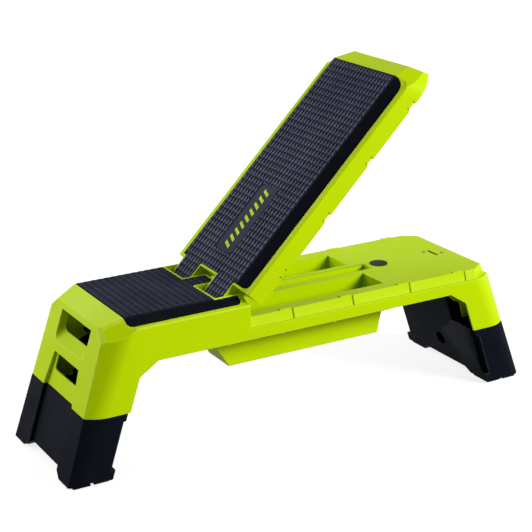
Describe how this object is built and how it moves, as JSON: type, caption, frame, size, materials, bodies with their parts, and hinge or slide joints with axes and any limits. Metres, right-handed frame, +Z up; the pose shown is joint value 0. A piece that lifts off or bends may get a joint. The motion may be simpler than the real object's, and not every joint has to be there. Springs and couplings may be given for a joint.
{
  "type": "aerobic step platform",
  "caption": "Aerobic step platform that doubles as a bench: moulded deck with rubber mats, hinged backrest on a folding prop, storage bins below and legs that fold under.",
  "frame": {"origin": "on the floor under the middle of the platform", "axes": "+X along the platform from the seat end to the head end, +Y across it, +Z up"},
  "size_m": [1.1922, 0.335, 0.7959],
  "materials": {
    "lime_plastic": "satin moulded",
    "tub_plastic": "satin moulded",
    "black_plastic": "satin moulded",
    "mat_rubber": "textured matt",
    "pad_rubber": "matt",
    "steel": "plated"
  },
  "bodies": {
    "deck": {"deck_shell": "lime_plastic", "seat_mat": "mat_rubber", "storage_tub": "tub_plastic", "tub_screws": "steel", "hinge_rod": "steel", "hinge_rod_clips": "steel", "bumper_disc": "pad_rubber", "catch_keeper": "black_plastic", "keeper_screws": "steel", "prop_pin": "steel", "left_leg_pins": "steel", "right_leg_pins": "steel"},
    "backrest": {"backrest_frame": "lime_plastic", "backrest_mat": "mat_rubber", "badge_panel": "black_plastic", "skirt_buffers": "pad_rubber", "hinge_bushes": "black_plastic", "catch_hook": "black_plastic", "hook_screws": "steel", "prop_saddle": "black_plastic", "saddle_screws": "steel"},
    "prop": {"prop_strut": "black_plastic", "prop_head_bar": "steel"},
    "left_leg": {"left_leg_shell": "black_plastic", "left_foot_pads": "pad_rubber"},
    "right_leg": {"right_leg_shell": "black_plastic", "right_foot_pads": "pad_rubber"}
  },
  "joints": [
    {"name": "backrest_hinge", "type": "hinge", "parent": "deck", "child": "backrest", "pos_m": [-0.179, 0, 0.318], "axis": [0, -1, 0], "range_deg": [-45, 0]},
    {"name": "prop_pivot", "type": "hinge", "parent": "deck", "child": "prop", "pos_m": [-0.14, 0, 0.28], "axis": [0, -1, 0], "range_deg": [-52.33, 0]},
    {"name": "left_leg_fold", "type": "hinge", "parent": "deck", "child": "left_leg", "pos_m": [-0.457, 0, 0.218], "axis": [0, -1, 0], "range_deg": [0, 108.36]},
    {"name": "right_leg_fold", "type": "hinge", "parent": "deck", "child": "right_leg", "pos_m": [0.457, 0, 0.218], "axis": [0, 1, 0], "range_deg": [0, 108.36]}
  ],
  "couplings": [
    {"joint": "prop_pivot", "follows": "backrest_hinge", "ratio": 1.1618}
  ]
}
